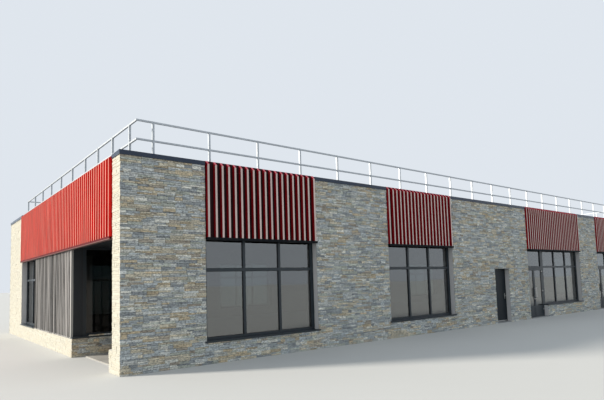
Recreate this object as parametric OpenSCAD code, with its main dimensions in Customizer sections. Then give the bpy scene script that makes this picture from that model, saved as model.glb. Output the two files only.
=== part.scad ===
// Single-storey supermarket building: stone-faced walls with ribbed fascia
// panels over the windows, a corner porch, shopfronts and a roof guardrail.
// Site frame: x runs along the front, y towards the back, z up from the ground.

/* [Walls] */
// Depth of the building from front face to rear face
depth = 14200; // [13400:50:18000]
// Thickness of the front and rear walls
wall_t = 500; // [440:10:560]
// Thickness of the two side walls
side_wall_t = 300; // [290:10:400]
// Top of the walls under the coping
wall_top = 4675; // [4500:5:5200]
// Height of the coping above the walls
coping_h = 75; // [60:5:160]
// Overhang of the coping past each wall face
coping_over = 28; // [20:1:29]
// Depth of the drip at each edge of the coping, below the top of the wall
coping_drip = 25; // [10:1:60]
// Thickness of the coping's drips
drip_t = 4; // [3:0.5:8]
// Fall of the coping's top towards the roof
coping_fall = 15; // [0:1:30]
// Top of the stone low walls under the windows
low_wall_top = 490; // [400:10:700]
// Head of the window and shopfront openings
head_z = 2960; // [2700:10:3200]
// Thickness of the floor above the ground
floor_t = 30; // [20:1:40]
// Thickness of the roof deck
roof_t = 200; // [120:10:300]
// Height of the parapet above the roof deck
parapet_h = 325; // [200:5:450]

/* [Front openings] */
// Corner pier left of the first window
corner_pier_w = 1975; // [1900:5:2600]
// Width of each window opening
window_w = 3390; // [2600:10:3600]
// Pier between the two windows
window_pier_w = 2960; // [1500:10:4000]
// Wall between the second window and the service door
door_wall_left_w = 2730; // [1200:10:4000]
// Width of the service door opening
service_w = 1030; // [930:10:1300]
// Head of the service door opening
service_head = 2120; // [2080:10:2300]
// Wall between the service door and the first shopfront
door_wall_right_w = 1590; // [800:10:3000]
// Width of each shopfront opening
shop_w = 5095; // [4600:5:6000]
// Pier between the two shopfronts
shop_pier_w = 2095; // [1000:5:3000]
// End pier right of the second shopfront
end_pier_w = 1985; // [1000:5:3000]

/* [Other sides] */
// Number of windows in the rear wall
rear_windows = 4; // [2:1:4]
// Number of windows in the right wall
right_windows = 2; // [1:1:2]
// Pier at each end of the rear and right walls
end_wall_pier = 1975; // [1000:5:2200]

/* [Porch and left side] */
// Length of the low stub beside the corner pier
stub_l = 220; // [100:10:500]
// Front face of the low wall at the back of the porch, from the front
porch_back = 3840; // [3000:10:4500]
// Depth of the porch from the left face to the glazed screen
porch_depth = 1550; // [1300:10:1600]
// Thickness of the low wall at the back of the porch
porch_low_wall_t = 300; // [290:10:400]
// Front end of the ribbed cladding, behind the porch low wall's face
clad_setback = 130; // [60:10:160]
// Length of the ribbed cladding
clad_l = 4985; // [3000:5:6000]
// Width of the window between the cladding and the far pier
side_window_w = 2450; // [1200:5:2800]
// Thickness of the porch ceiling
soffit_t = 40; // [20:1:80]
// Thickness of the walls over the porch glazing
porch_lintel_t = 200; // [100:10:240]

/* [Windows] */
// Depth of the plain reveal in front of the frames
reveal = 165; // [140:5:180]
// Depth of the window frames
frame_d = 90; // [80:1:110]
// Distance of the glass behind the face of its frame
glass_set = 35; // [10:1:40]
// Width of the side members of a window frame
jamb_w = 100; // [60:1:120]
// Width of the mullions and transoms
bar_w = 70; // [50:1:90]
// Height of the top and bottom rails of a window frame
rail_h = 60; // [50:1:100]
// Middle of the transom above the ground
transom_z = 2180; // [2170:5:2350]
// Thickness of the glazing
glass_t = 24; // [12:1:36]
// Thickness of the metal sill
sill_t = 40; // [20:1:60]
// Projection of the sill past the wall face
sill_nose = 40; // [20:1:80]
// Length of the sill's horns past the opening
sill_horn = 45; // [0:1:100]

/* [Shopfronts] */
// Width of the doorway side of a shopfront, to the middle of its mullion
entrance_w = 1535; // [1400:5:1900]
// Width of the posts on either side of the entrance doors
post_w = 70; // [60:1:90]
// Number of fixed panes beside the doors
shop_cols = 3; // [2:1:4]

/* [Doors] */
// Clearance round each door leaf
door_gap = 5; // [5:1:8]
// Gap between two meeting leaves
meeting_gap = 12; // [10:1:16]
// Gap between a leaf and the threshold
bottom_gap = 10; // [6:1:20]
// Width of the stiles of the entrance leaves
stile_w = 70; // [60:1:90]
// Height of the top rail of the entrance leaves
top_rail_h = 105; // [80:1:130]
// Top of the solid panel at the foot of the entrance leaves
kick_top = 500; // [300:10:700]
// Thickness of the entrance leaves
leaf_t = 60; // [50:1:80]
// Thickness of the solid panel at the foot of the entrance leaves
kick_t = 40; // [20:1:48]
// Thickness of the service door leaf
service_leaf_t = 54; // [40:1:60]
// Width of the service door frame's face
service_frame_w = 50; // [40:1:70]
// Radius of the hinge barrels
barrel_r = 11; // [9:0.5:14]
// Radius of the hinge pins
pin_r = 6; // [4:0.5:7]
// Running clearance of the hinge pins
pin_gap = 0.3; // [0.2:0.05:0.5]
// Height of each half of a hinge
barrel_h = 55; // [40:1:80]
// Width of each hinge strap
strap_w = 30; // [20:1:40]
// Thickness of each hinge strap
strap_t = 4; // [3:0.5:6]
// Clear space between a hinge barrel and the frame
barrel_gap = 1; // [0.5:0.5:3]

/* [Handles] */
// Middle of the pull handles above the ground
pull_z = 1080; // [950:10:1200]
// Length of the pull handles
pull_l = 400; // [200:10:600]
// Radius of the pull handles
pull_r = 14; // [10:1:18]
// Radius of a pull handle's two stand-offs
pull_foot_r = 9; // [6:1:12]
// Distance of a stand-off from the pull's end
pull_foot_in = 45; // [30:1:80]
// Stand-off of a pull's axis from the leaf
pull_off = 62; // [45:1:75]
// Height of the lever handle above the ground
lever_z = 1030; // [900:10:1100]
// Length of the lever
lever_l = 125; // [90:1:150]
// Radius of the lever and its spindle
lever_r = 9; // [7:0.5:12]
// Distance of the lever's spindle from the free edge of the leaf
lever_in = 70; // [50:5:90]
// Stand-off of the lever's axis from its plate
lever_off = 48; // [40:1:60]
// Size of the lever's plate: width, thickness and height
lever_plate = [42, 8, 220];

/* [Fascia panels] */
// Usual spacing of the ribs
rib_pitch = 178; // [150:1:260]
// Distance of an end rib's middle from the end of its panel
end_rib_in = 66; // [60:1:90]
// Spacing between an end rib and the next one
end_rib_gap = 204; // [150:1:260]
// Width of a rib's front face
rib_face = 50; // [40:1:80]
// Width of a rib at its root
rib_root = 58; // [50:1:100]
// Depth of a rib
rib_d = 100; // [80:1:120]
// Drop of a rib's slanting top from its root to its front
rib_drop = 90; // [20:5:120]
// Projection of the ribs past the wall face
panel_out = 72; // [50:1:78]
// Thickness of the folded sheet
sheet_t = 3; // [2:0.5:4]
// Space between the sheet and the wall over an opening
panel_off = 30; // [30:1:50]
// Height of the rails behind the sheet
rail_back_h = 50; // [30:1:80]
// Height of the panels above the coping
panel_rise = 20; // [0:1:40]
// Overlap of the panels and their flashings over the heads of the openings
head_cover = 80; // [60:5:120]
// Height of the dark flashing under a panel
flash_h = 60; // [20:1:80]
// Projection of the flashing past the ribs
flash_lip = 5; // [2:1:10]
// Lap of the flashing behind the foot of the sheet
flash_lap = 20; // [10:1:40]
// Depth of the ribs of the grey cladding
clad_rib_d = 50; // [30:1:70]

/* [Guardrail] */
// Distance of the guardrail from the inner faces of the front and rear walls
guard_clear = 55; // [55:5:200]
// Height of the guardrail above the roof deck
guard_h = 1325; // [1100:5:1500]
// Middle of the lower rail below the top of the guardrail
guard_mid = 465; // [350:5:600]
// Side of the square posts
guard_post = 50; // [40:1:60]
// Side of the square rails
guard_rail = 40; // [30:1:45]
// Distance from the front corner to the first post along the front
guard_first = 944; // [900:1:1200]
// Distance from the front corner to the first post along each side
guard_side_first = 1015; // [900:5:1200]
// Spacing of the posts
guard_pitch = 1460; // [1200:10:1800]
// Number of narrow bays along each side, next to the front
guard_near_bays = 3; // [1:1:4]
// Spacing of the posts in the narrow bays
guard_near_pitch = 1250; // [900:10:1400]
// Side of a post's base plate
base_w = 100; // [80:5:110]
// Thickness of a post's base plate
base_t = 12; // [8:1:20]

/* [Hidden] */
$fn = 32;

// Places of the openings along the front
window_1 = corner_pier_w;
window_2 = window_1 + window_w + window_pier_w;
service_x = window_2 + window_w + door_wall_left_w;
shop_1 = service_x + service_w + door_wall_right_w;
shop_2 = shop_1 + shop_w + shop_pier_w;
length = shop_2 + shop_w + end_pier_w;
shops = [shop_1, shop_2];
window_openings = [for (x = [window_1, window_2]) [x, window_w]];
shop_openings = [for (x = shops) [x, shop_w]];
front_openings = concat(window_openings, [[service_x, service_w]], shop_openings);
front_panels = concat(window_openings, shop_openings);

// Places of the openings in the other walls
function spread(total, count) =
    let (gap = count > 1
            ? floor((total - 2 * end_wall_pier - count * window_w) / (count - 1)) : 0,
        first = (total - count * window_w - (count - 1) * gap) / 2)
    [for (i = [0:count - 1]) first + i * (window_w + gap)];
rear_openings = [for (x = spread(length, rear_windows)) [x, window_w]];
right_openings = [for (x = spread(depth, right_windows)) [x, window_w]];
clad_start = porch_back + clad_setback;
clad_end = clad_start + clad_l;
side_window_end = clad_end + side_window_w;
left_panel = [wall_t, side_window_end - wall_t];

// Heights
roof_top = wall_top - parapet_h;
roof_under = roof_top - roof_t;
frame_base = low_wall_top + sill_t;
coping_top = wall_top + coping_h;
panel_top = coping_top + panel_rise;
panel_foot = head_z - head_cover;
panel_base = panel_foot + flash_h;
leaf_base = floor_t + bottom_gap;
transom_low = transom_z - bar_w / 2;
leaf_top = transom_low - door_gap;
service_leaf_top = service_head - service_frame_w - door_gap;
guard_in = wall_t + guard_clear;
// Distances behind the wall face: the sheet's back and the wall over an opening
sheet_back = rib_d + sheet_t - panel_out;
lintel_set = sheet_back + panel_off;
clad_back = clad_rib_d + sheet_t;
// How far a cutting shape runs past the face that it cuts
margin = 1;

// Leaves
doorway_low = post_w;
doorway_high = entrance_w - post_w / 2;
leaf_w = (doorway_high - doorway_low - 2 * door_gap - meeting_gap) / 2;
service_leaf_w = service_w - 2 * service_frame_w - 2 * door_gap;
fixed_start = entrance_w + post_w / 2;
pivot_out = barrel_r + barrel_gap;
hinge_heights = [250, 1050, 1900];

stone = "#9c958a";
render_grey = "#c9c2b6";
red = "#c8141a";
dark = "#1f3038";
zinc = "#b9bfc2";
grey_metal = "#8b8880";
clear = [0.45, 0.6, 0.65, 0.45];

// A block between two corners
module block(low, high) translate(low) cube(high - low);

// The building's own frame, and the walls other than the front: x runs along
// the wall and y goes inwards, on the left wall as a mirror image
module site() translate([-length / 2, -depth / 2, 0]) children();
module on_rear() translate([length, depth, 0]) rotate([0, 0, 180]) children();
module on_left() mirror([1, -1, 0]) children();
module on_right() translate([length, 0, 0]) rotate([0, 0, 90]) children();

// Piers between the openings of one wall, each opening as [start, width]
module piers(openings, low, high, thickness) {
    edges = concat([low], [for (o = openings) each [o[0], o[0] + o[1]]], [high]);
    for (i = [0:2:len(edges) - 2])
        block([edges[i], 0, 0], [edges[i + 1], thickness, wall_top]);
}

module floor_slab() site() color(render_grey)
    block([side_wall_t, wall_t, 0], [length - side_wall_t, depth - wall_t, floor_t]);

module thresholds() site() color(grey_metal) {
    block([service_x, 0, 0], [service_x + service_w, wall_t, floor_t]);
    for (x = shops) block([x, 0, 0], [x + fixed_start, wall_t, floor_t]);
}

module front_piers() site() color(stone)
    piers(front_openings, 0, length, wall_t);

module rear_piers() site() color(stone)
    on_rear() piers(rear_openings, 0, length, wall_t);

module side_piers() site() color(stone) {
    block([0, side_window_end, 0], [side_wall_t, depth - wall_t, wall_top]);
    on_right() piers(right_openings, wall_t, depth - wall_t, side_wall_t);
}

module under_windows(openings, thickness) for (o = openings)
    block([o[0], 0, 0], [o[0] + o[1], thickness, low_wall_top]);

module low_walls() site() color(stone) {
    under_windows(window_openings, wall_t);
    on_rear() under_windows(rear_openings, wall_t);
    on_right() under_windows(right_openings, side_wall_t);
    for (x = shops)
        block([x + fixed_start, 0, 0], [x + shop_w, wall_t, low_wall_top]);
    block([0, porch_back, 0], [side_wall_t, side_window_end, low_wall_top]);
    block([0, wall_t, 0], [side_wall_t, wall_t + stub_l, low_wall_top]);
}

module porch_low_wall() site() color(stone)
    block([side_wall_t, porch_back, floor_t],
        [porch_depth, porch_back + porch_low_wall_t, low_wall_top]);

// Walls over openings, set back to make room for the fascia panels
module over_openings(openings, thickness) for (o = openings)
    block([o[0], lintel_set, head_z], [o[0] + o[1], thickness, wall_top]);

module lintels() site() color(stone) {
    over_openings(front_panels, wall_t);
    on_rear() over_openings(rear_openings, wall_t);
    on_right() over_openings(right_openings, side_wall_t);
    block([service_x, 0, service_head], [service_x + service_w, wall_t, wall_top]);
}

module left_fascia_beam() site() color(stone)
    on_left() over_openings([left_panel], side_wall_t);

module left_clad_wall() site() color(dark) {
    block([clad_back, clad_start, low_wall_top], [side_wall_t, clad_end, panel_foot]);
    block([lintel_set, clad_start, low_wall_top], [side_wall_t, clad_end, head_z]);
}

module porch_soffit() site() color(dark)
    block([side_wall_t, wall_t, head_z],
        [porch_depth, porch_back + reveal, head_z + soffit_t]);

module porch_side_lintel() site() color(render_grey)
    block([porch_depth, wall_t, head_z],
        [porch_depth + porch_lintel_t, porch_back + reveal + porch_lintel_t, roof_under]);

module porch_back_lintel() site() color(render_grey)
    block([side_wall_t, porch_back + reveal, head_z],
        [porch_depth, porch_back + reveal + porch_lintel_t, roof_under]);

module roof_deck() site() color(grey_metal)
    block([side_wall_t, wall_t, roof_under],
        [length - side_wall_t, depth - wall_t, roof_top]);

// Sloped cap along one wall, from low to high, with its outer edge at front
module coping(low, high, front, thickness)
    translate([low, 0, 0]) rotate([90, 0, 90]) linear_extrude(high - low)
        polygon([
            [front, coping_top
                - coping_fall * (front + coping_over) / (thickness + 2 * coping_over)],
            [front, wall_top - coping_drip],
            [front + drip_t, wall_top - coping_drip],
            [front + drip_t, wall_top],
            [thickness + coping_over - drip_t, wall_top],
            [thickness + coping_over - drip_t, wall_top - coping_drip],
            [thickness + coping_over, wall_top - coping_drip],
            [thickness + coping_over, coping_top - coping_fall]
        ]);

// Cap of one wall: it overhangs the piers and ends at the back of each panel
module coping_run(low, high, panels, thickness) {
    edges = concat([low], [for (p = panels) each [max(low, p[0]), p[0] + p[1]]], [high]);
    for (i = [0:len(edges) - 2])
        if (edges[i + 1] > edges[i])
            coping(edges[i], edges[i + 1], i % 2 == 0 ? -coping_over : sheet_back, thickness);
}

// Cap of a long wall, with a drip across each end and none over the side walls
module long_coping(panels) {
    difference() {
        coping_run(-coping_over, length + coping_over, panels, wall_t);
        for (x = [drip_t - coping_over, length - side_wall_t])
            block([x, wall_t, wall_top - coping_drip - margin],
                [x + side_wall_t + coping_over - drip_t, wall_t + coping_over + margin, wall_top]);
    }
    for (x = [-coping_over, length + coping_over - drip_t])
        block([x, -coping_over, wall_top - coping_drip],
            [x + drip_t, wall_t + coping_over, wall_top]);
}

// The front cap stops short of the left panel, which starts behind the front wall
module front_coping() site() color(dark) difference() {
    long_coping(front_panels);
    block([-coping_over - margin, wall_t, wall_top - coping_drip - margin],
        [sheet_back, wall_t + coping_over + margin, coping_top + margin]);
}
module rear_coping() site() color(dark) on_rear() long_coping(rear_openings);

module side_coping(panels)
    coping_run(wall_t + coping_over, depth - wall_t - coping_over, panels, side_wall_t);
module left_coping() site() color(dark) on_left() side_coping([left_panel]);
module right_coping() site() color(dark) on_right() side_coping(right_openings);

// Guardrail along one wall: square posts on base plates, two rails
module guardrail(posts, rail_low, rail_high) {
    for (x = posts) {
        block([x - guard_post / 2, guard_in - guard_post / 2, roof_top],
            [x + guard_post / 2, guard_in + guard_post / 2, roof_top + guard_h]);
        block([x - base_w / 2, guard_in - base_w / 2, roof_top],
            [x + base_w / 2, guard_in + base_w / 2, roof_top + base_t]);
    }
    for (z = [guard_h - guard_rail, guard_h - guard_mid - guard_rail / 2])
        block([rail_low, guard_in - guard_rail / 2, roof_top + z],
            [rail_high, guard_in + guard_rail / 2, roof_top + z + guard_rail]);
}

// Places of the posts after the first, in even bays of about the usual width
function even_posts(low, high) =
    let (bays = round((high - low) / guard_pitch))
    [for (i = [1:bays]) low + i * (high - low) / bays];

guard_out = guard_in - guard_rail / 2;
front_posts = [guard_first:guard_pitch:length - guard_in - base_w];
rear_posts = concat([guard_in], even_posts(guard_in, length - guard_in));
near_end = guard_side_first + guard_near_bays * guard_near_pitch;
near_posts = [guard_side_first:guard_near_pitch:near_end];
far_posts = even_posts(near_end, depth - guard_in);
side_posts = concat([for (y = near_posts) y], [for (i = [0:len(far_posts) - 2]) far_posts[i]]);
module front_guardrail() site() color(zinc)
    guardrail(front_posts, guard_out, length - guard_out);
module rear_guardrail() site() color(zinc)
    on_rear() guardrail(rear_posts, guard_out, length - guard_out);

// A side run fits between the front run's rails and the rear run's corner posts
module side_guardrail()
    guardrail(side_posts, guard_in + guard_rail / 2, depth - guard_in - guard_post / 2);
module left_guardrail() site() color(zinc) on_left() side_guardrail();
module right_guardrail() site() color(zinc)
    translate([length, 0, 0]) mirror([1, 0, 0]) on_left() side_guardrail();

// Middles of ribs in even bays of about the usual spacing, over a width
function even_ribs(width) =
    let (count = round(width / rib_pitch))
    [for (i = [0:count - 1]) (i + 0.5) * width / count];

// Middles of a fascia panel's ribs: one near each end, even ones between them
function panel_ribs(width) =
    let (first = end_rib_in + end_rib_gap, bays = round((width - 2 * first) / rib_pitch))
    concat([end_rib_in],
        [for (i = [0:bays]) first + i * (width - 2 * first) / bays], [width - end_rib_in]);

// Points of a ribbed sheet's outer face, ribs standing out by d below y = 0
function rib_line(middles, d, grow) = [for (c = middles) each [
    [c - rib_root / 2 + grow, 0], [c - rib_face / 2 + grow, grow - d],
    [c + rib_face / 2 - grow, grow - d], [c + rib_root / 2 - grow, 0]
]];

// Folded sheet from x = 0 to width with its back on y = sheet_t
module ribbed_sheet(width, middles, d, low, high) {
    inner = [for (p = rib_line(middles, d, sheet_t)) p + [0, p[1] == 0 ? sheet_t : 0]];
    translate([0, 0, low]) linear_extrude(high - low) polygon(concat(
        [[0, 0]], rib_line(middles, d, 0), [[width, 0], [width, sheet_t]],
        [for (i = [len(inner) - 1:-1:0]) inner[i]], [[0, sheet_t]]
    ));
}

// Slab along the slanting tops of a panel's ribs, from low to high above them
module rib_slant(width, low, high) {
    ends = [-rib_d - margin, sheet_t + margin];
    translate([-margin, 0, 0]) rotate([90, 0, 90]) linear_extrude(width + 2 * margin)
        polygon([for (p = [[0, low], [1, low], [1, high], [0, high]])
            [ends[p[0]], panel_top + (ends[p[0]] - sheet_t / 2) * rib_drop / rib_d + p[1]]]);
}

// Ribbed fascia panel with slanting caps on its ribs and rails behind it
module fin_panel(width) translate([0, sheet_back - sheet_t, 0]) {
    difference() {
        ribbed_sheet(width, panel_ribs(width), rib_d, panel_base, panel_top);
        rib_slant(width, 0, 2 * rib_drop);
    }
    intersection() {
        translate([0, 0, panel_top - 2 * rib_drop]) linear_extrude(2 * rib_drop)
            polygon(concat([[0, 0]], rib_line(panel_ribs(width), rib_d, 0),
                [[width, 0], [width, sheet_t], [0, sheet_t]]));
        rib_slant(width, -sheet_t * norm([rib_d, rib_drop]) / rib_d, 0);
    }
    mid = (panel_base + wall_top) / 2;
    for (z = [panel_base + rail_back_h, mid, wall_top - 2 * rail_back_h])
        block([0, sheet_t, z], [width, sheet_t + panel_off, z + rail_back_h]);
}
module fin_panels(openings) for (o = openings) translate([o[0], 0, 0]) fin_panel(o[1]);

module front_fin_panels() site() color(red) fin_panels(front_panels);
module left_fin_panel() site() color(red) on_left() fin_panels([left_panel]);
module rear_fin_panels() site() color(red) on_rear() fin_panels(rear_openings);
module right_fin_panels() site() color(red) on_right() fin_panels(right_openings);

// Folded sheet that closes the foot of a fascia panel and laps behind it
module flashing(width) translate([0, 0, panel_foot]) rotate([90, 0, 90])
    linear_extrude(width) polygon([
        [sheet_back + sheet_t, 0], [-panel_out - flash_lip, 0],
        [-panel_out - flash_lip, flash_h], [-panel_out, flash_h],
        [-panel_out, sheet_t], [sheet_back, sheet_t],
        [sheet_back, flash_h + flash_lap], [sheet_back + sheet_t, flash_h + flash_lap]
    ]);
module flashings(openings) for (o = openings) translate([o[0], 0, 0]) flashing(o[1]);

module panel_flashings() site() color(dark) {
    flashings(front_panels);
    on_left() flashings([left_panel]);
    on_rear() flashings(rear_openings);
    on_right() flashings(right_openings);
}

// Light openings of a frame as [low x, high x, low z, high z]
function lights(width, low, high, side, cols, splits) =
    let (clear_w = (width - 2 * side - (cols - 1) * bar_w) / cols,
        lows = concat([low + rail_h], [for (s = splits) s + bar_w / 2]),
        highs = concat([for (s = splits) s - bar_w / 2], [high - rail_h]))
    [for (c = [0:cols - 1], r = [0:len(lows) - 1])
        let (x = side + c * (clear_w + bar_w)) [x, x + clear_w, lows[r], highs[r]]];

module frame(width, low, high, side, cols, splits)
    translate([0, reveal + frame_d, 0]) rotate([90, 0, 0]) linear_extrude(frame_d)
        difference() {
            translate([0, low]) square([width, high - low]);
            for (p = lights(width, low, high, side, cols, splits))
                translate([p[0], p[2]]) square([p[1] - p[0], p[3] - p[2]]);
        }

module panes(width, low, high, side, cols, splits)
    for (p = lights(width, low, high, side, cols, splits))
        block([p[0], reveal + glass_set, p[2]],
            [p[1], reveal + glass_set + glass_t, p[3]]);

// Every window opening of the standard size, and the one in the left wall
module at_windows() {
    for (o = window_openings) translate([o[0], 0, 0]) children();
    on_rear() for (o = rear_openings) translate([o[0], 0, 0]) children();
    on_right() for (o = right_openings) translate([o[0], 0, 0]) children();
}
module at_side_window() on_left() translate([clad_end, 0, 0]) children();

module window_frames() site() color(dark) {
    at_windows() frame(window_w, frame_base, head_z, jamb_w, 3, [transom_z]);
    at_side_window() frame(side_window_w, frame_base, head_z, jamb_w, 2, [transom_z]);
}
module window_glass() site() color(clear) {
    at_windows() panes(window_w, frame_base, head_z, jamb_w, 3, [transom_z]);
    at_side_window() panes(side_window_w, frame_base, head_z, jamb_w, 2, [transom_z]);
}

// Each shopfront: posts round the doors, a light over them, fixed panes beside
over_w = doorway_high - doorway_low;
module at_shops() for (x = shops) translate([x, 0, 0]) children();
module at_over() at_shops() translate([doorway_low, 0, 0]) children();
module at_fixed() at_shops() translate([fixed_start, 0, 0]) children();

module shopfront_frames() site() color(dark) {
    at_over() frame(over_w, transom_low, head_z, rail_h, 1, []);
    at_fixed() frame(shop_w - fixed_start, frame_base, head_z, jamb_w, shop_cols, [transom_z]);
}
module shopfront_glass() site() color(clear) {
    at_over() panes(over_w, transom_low, head_z, rail_h, 1, []);
    at_fixed() panes(shop_w - fixed_start, frame_base, head_z, jamb_w, shop_cols, [transom_z]);
}

// Frame half of a hinge on the pivot line: barrel, strap and upright pin
module fixed_hinge() {
    cylinder(r = barrel_r, h = barrel_h);
    cylinder(r = pin_r, h = 2 * barrel_h - barrel_r);
    block([-strap_w, pivot_out - strap_t, 0], [0, pivot_out, barrel_h]);
    block([-barrel_r, 0, 0], [0, pivot_out, barrel_h]);
}

// Leaf half of a hinge, with its bore over the pin
module moving_hinge() translate([0, 0, barrel_h + pin_gap]) difference() {
    union() {
        cylinder(r = barrel_r, h = barrel_h);
        block([0, pivot_out - strap_t, 0], [strap_w, pivot_out, barrel_h]);
        block([0, 0, 0], [barrel_r, pivot_out, barrel_h]);
    }
    translate([0, 0, -margin])
        cylinder(r = pin_r + pin_gap, h = barrel_h - barrel_r / 2 + margin);
}

// Hinge places along a pivot line at x, on the outer face of the frames
module at_hinges(x) for (z = hinge_heights)
    translate([x, reveal - pivot_out, z]) children();

left_pivot = doorway_low + door_gap / 2;
right_pivot = doorway_high - door_gap / 2;
service_pivot = service_frame_w + door_gap / 2;

module entrance_posts() site() color(dark) at_shops() {
    for (x = [0, doorway_high])
        block([x, reveal, floor_t], [x + post_w, reveal + frame_d, head_z]);
    at_hinges(left_pivot) fixed_hinge();
    at_hinges(right_pivot) mirror([1, 0, 0]) fixed_hinge();
}

module service_door_frame() site() color(dark) translate([service_x, 0, 0]) {
    translate([0, reveal + frame_d, 0]) rotate([90, 0, 0]) linear_extrude(frame_d)
        difference() {
            translate([0, floor_t]) square([service_w, service_head - floor_t]);
            translate([service_frame_w, floor_t - margin])
                square([service_w - 2 * service_frame_w,
                    service_head - service_frame_w - floor_t + margin]);
        }
    at_hinges(service_pivot) fixed_hinge();
}

// Sill plate in an opening, with a nose and horns in front of the wall
module sill(width, back, horn = sill_horn) translate([0, 0, low_wall_top]) linear_extrude(sill_t)
    polygon([
        [0, back], [0, 0], [-horn, 0], [-horn, -sill_nose],
        [width + horn, -sill_nose], [width + horn, 0], [width, 0], [width, back]
    ]);

module window_sills() site() color(dark) {
    at_windows() sill(window_w, reveal + frame_d);
    at_side_window() sill(side_window_w, reveal + frame_d, 0);
    at_fixed() sill(shop_w - fixed_start, reveal + frame_d);
    translate([0, porch_back, low_wall_top]) linear_extrude(sill_t) polygon([
        [0, -sill_nose], [porch_depth, -sill_nose],
        [porch_depth, reveal + frame_d], [side_wall_t, reveal + frame_d],
        [side_wall_t, clad_setback], [0, clad_setback]
    ]);
}

module left_cladding() site() color(grey_metal) on_left()
    translate([clad_start, clad_rib_d, 0])
        ribbed_sheet(clad_l, even_ribs(clad_l), clad_rib_d, low_wall_top, panel_foot);

porch_window_w = porch_depth - side_wall_t;
module porch_window_frame() site() color(dark) translate([side_wall_t, porch_back, 0])
    frame(porch_window_w, frame_base, head_z, jamb_w, 1, []);
module porch_window_glass() site() color(clear) translate([side_wall_t, porch_back, 0])
    panes(porch_window_w, frame_base, head_z, jamb_w, 1, []);

// Glazed screen along the inner side of the porch
screen_l = porch_back + reveal + frame_d - wall_t;
module at_screen() on_left() translate([wall_t, porch_depth - reveal, 0]) children();
module porch_screen_frame() site() color(dark)
    at_screen() frame(screen_l, floor_t, head_z, rail_h, 4, [transom_z]);
module porch_screen_glass() site() color(clear)
    at_screen() panes(screen_l, floor_t, head_z, rail_h, 4, [transom_z]);

module service_door() site() color(dark)
    translate([service_x + service_frame_w + door_gap, reveal, leaf_base])
        cube([service_leaf_w, service_leaf_t, service_leaf_top - leaf_base]);

// Lever on a plate near the free edge of the service door, and its hinge halves
module lever() {
    block([-lever_plate[0] / 2, -lever_plate[1], -lever_plate[2] / 2],
        [lever_plate[0] / 2, 0, lever_plate[2] / 2]);
    rotate([90, 0, 0]) cylinder(r = lever_r, h = lever_plate[1] + lever_off);
    translate([lever_r, -lever_plate[1] - lever_off, 0]) rotate([0, -90, 0])
        cylinder(r = lever_r, h = lever_l);
}
module service_door_fittings() site() color(zinc) translate([service_x, 0, 0]) {
    translate([service_w - service_frame_w - door_gap - lever_in, reveal, lever_z]) lever();
    at_hinges(service_pivot) moving_hinge();
}

// Entrance leaf hinged at its left edge: stiles, rails and a solid foot panel
module leaf_frame() {
    translate([0, leaf_t, 0]) rotate([90, 0, 0]) linear_extrude(leaf_t) difference() {
        translate([0, leaf_base]) square([leaf_w, leaf_top - leaf_base]);
        translate([stile_w, leaf_base + stile_w])
            square([leaf_w - 2 * stile_w, leaf_top - leaf_base - stile_w - top_rail_h]);
    }
    block([stile_w, (leaf_t - kick_t) / 2, leaf_base + stile_w],
        [leaf_w - stile_w, (leaf_t + kick_t) / 2, kick_top - stile_w]);
    block([stile_w, 0, kick_top - stile_w], [leaf_w - stile_w, leaf_t, kick_top]);
}
module leaf_glass() block([stile_w, (leaf_t - glass_t) / 2, kick_top],
    [leaf_w - stile_w, (leaf_t + glass_t) / 2, leaf_top - top_rail_h]);
module leaf_pull() translate([leaf_w - stile_w / 2, -pull_off, pull_z]) {
    translate([0, 0, -pull_l / 2]) cylinder(r = pull_r, h = pull_l);
    for (side = [-1, 1]) translate([0, pull_off, side * (pull_l / 2 - pull_foot_in)])
        rotate([90, 0, 0]) cylinder(r = pull_foot_r, h = pull_off);
}

module leaf_fittings() {
    leaf_pull();
    for (z = hinge_heights) translate([-door_gap / 2, -pivot_out, z]) moving_hinge();
}

// The two leaf places of a doorway
module left_leaf(shop) site() translate([shop + doorway_low + door_gap, reveal, 0]) children();
module right_leaf(shop) site() translate([shop + doorway_high - door_gap, reveal, 0])
    mirror([1, 0, 0]) children();

module entrance_1_left_leaf() color(dark) left_leaf(shop_1) leaf_frame();
module entrance_1_left_glass() color(clear) left_leaf(shop_1) leaf_glass();
module entrance_1_left_fittings() color(zinc) left_leaf(shop_1) leaf_fittings();
module entrance_1_right_leaf() color(dark) right_leaf(shop_1) leaf_frame();
module entrance_1_right_glass() color(clear) right_leaf(shop_1) leaf_glass();
module entrance_1_right_fittings() color(zinc) right_leaf(shop_1) leaf_fittings();
module entrance_2_left_leaf() color(dark) left_leaf(shop_2) leaf_frame();
module entrance_2_left_glass() color(clear) left_leaf(shop_2) leaf_glass();
module entrance_2_left_fittings() color(zinc) left_leaf(shop_2) leaf_fittings();
module entrance_2_right_leaf() color(dark) right_leaf(shop_2) leaf_frame();
module entrance_2_right_glass() color(clear) right_leaf(shop_2) leaf_glass();
module entrance_2_right_fittings() color(zinc) right_leaf(shop_2) leaf_fittings();

floor_slab();
thresholds();
front_piers();
rear_piers();
side_piers();
low_walls();
porch_low_wall();
lintels();
left_fascia_beam();
left_clad_wall();
porch_soffit();
porch_side_lintel();
porch_back_lintel();
roof_deck();
front_coping();
rear_coping();
left_coping();
right_coping();
front_guardrail();
rear_guardrail();
left_guardrail();
right_guardrail();
front_fin_panels();
left_fin_panel();
rear_fin_panels();
right_fin_panels();
panel_flashings();
window_frames();
window_glass();
shopfront_frames();
shopfront_glass();
entrance_posts();
service_door_frame();
window_sills();
left_cladding();
porch_window_frame();
porch_window_glass();
porch_screen_frame();
porch_screen_glass();
service_door();
service_door_fittings();
entrance_1_left_leaf();
entrance_1_left_glass();
entrance_1_left_fittings();
entrance_1_right_leaf();
entrance_1_right_glass();
entrance_1_right_fittings();
entrance_2_left_leaf();
entrance_2_left_glass();
entrance_2_left_fittings();
entrance_2_right_leaf();
entrance_2_right_glass();
entrance_2_right_fittings();
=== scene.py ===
import math

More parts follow.
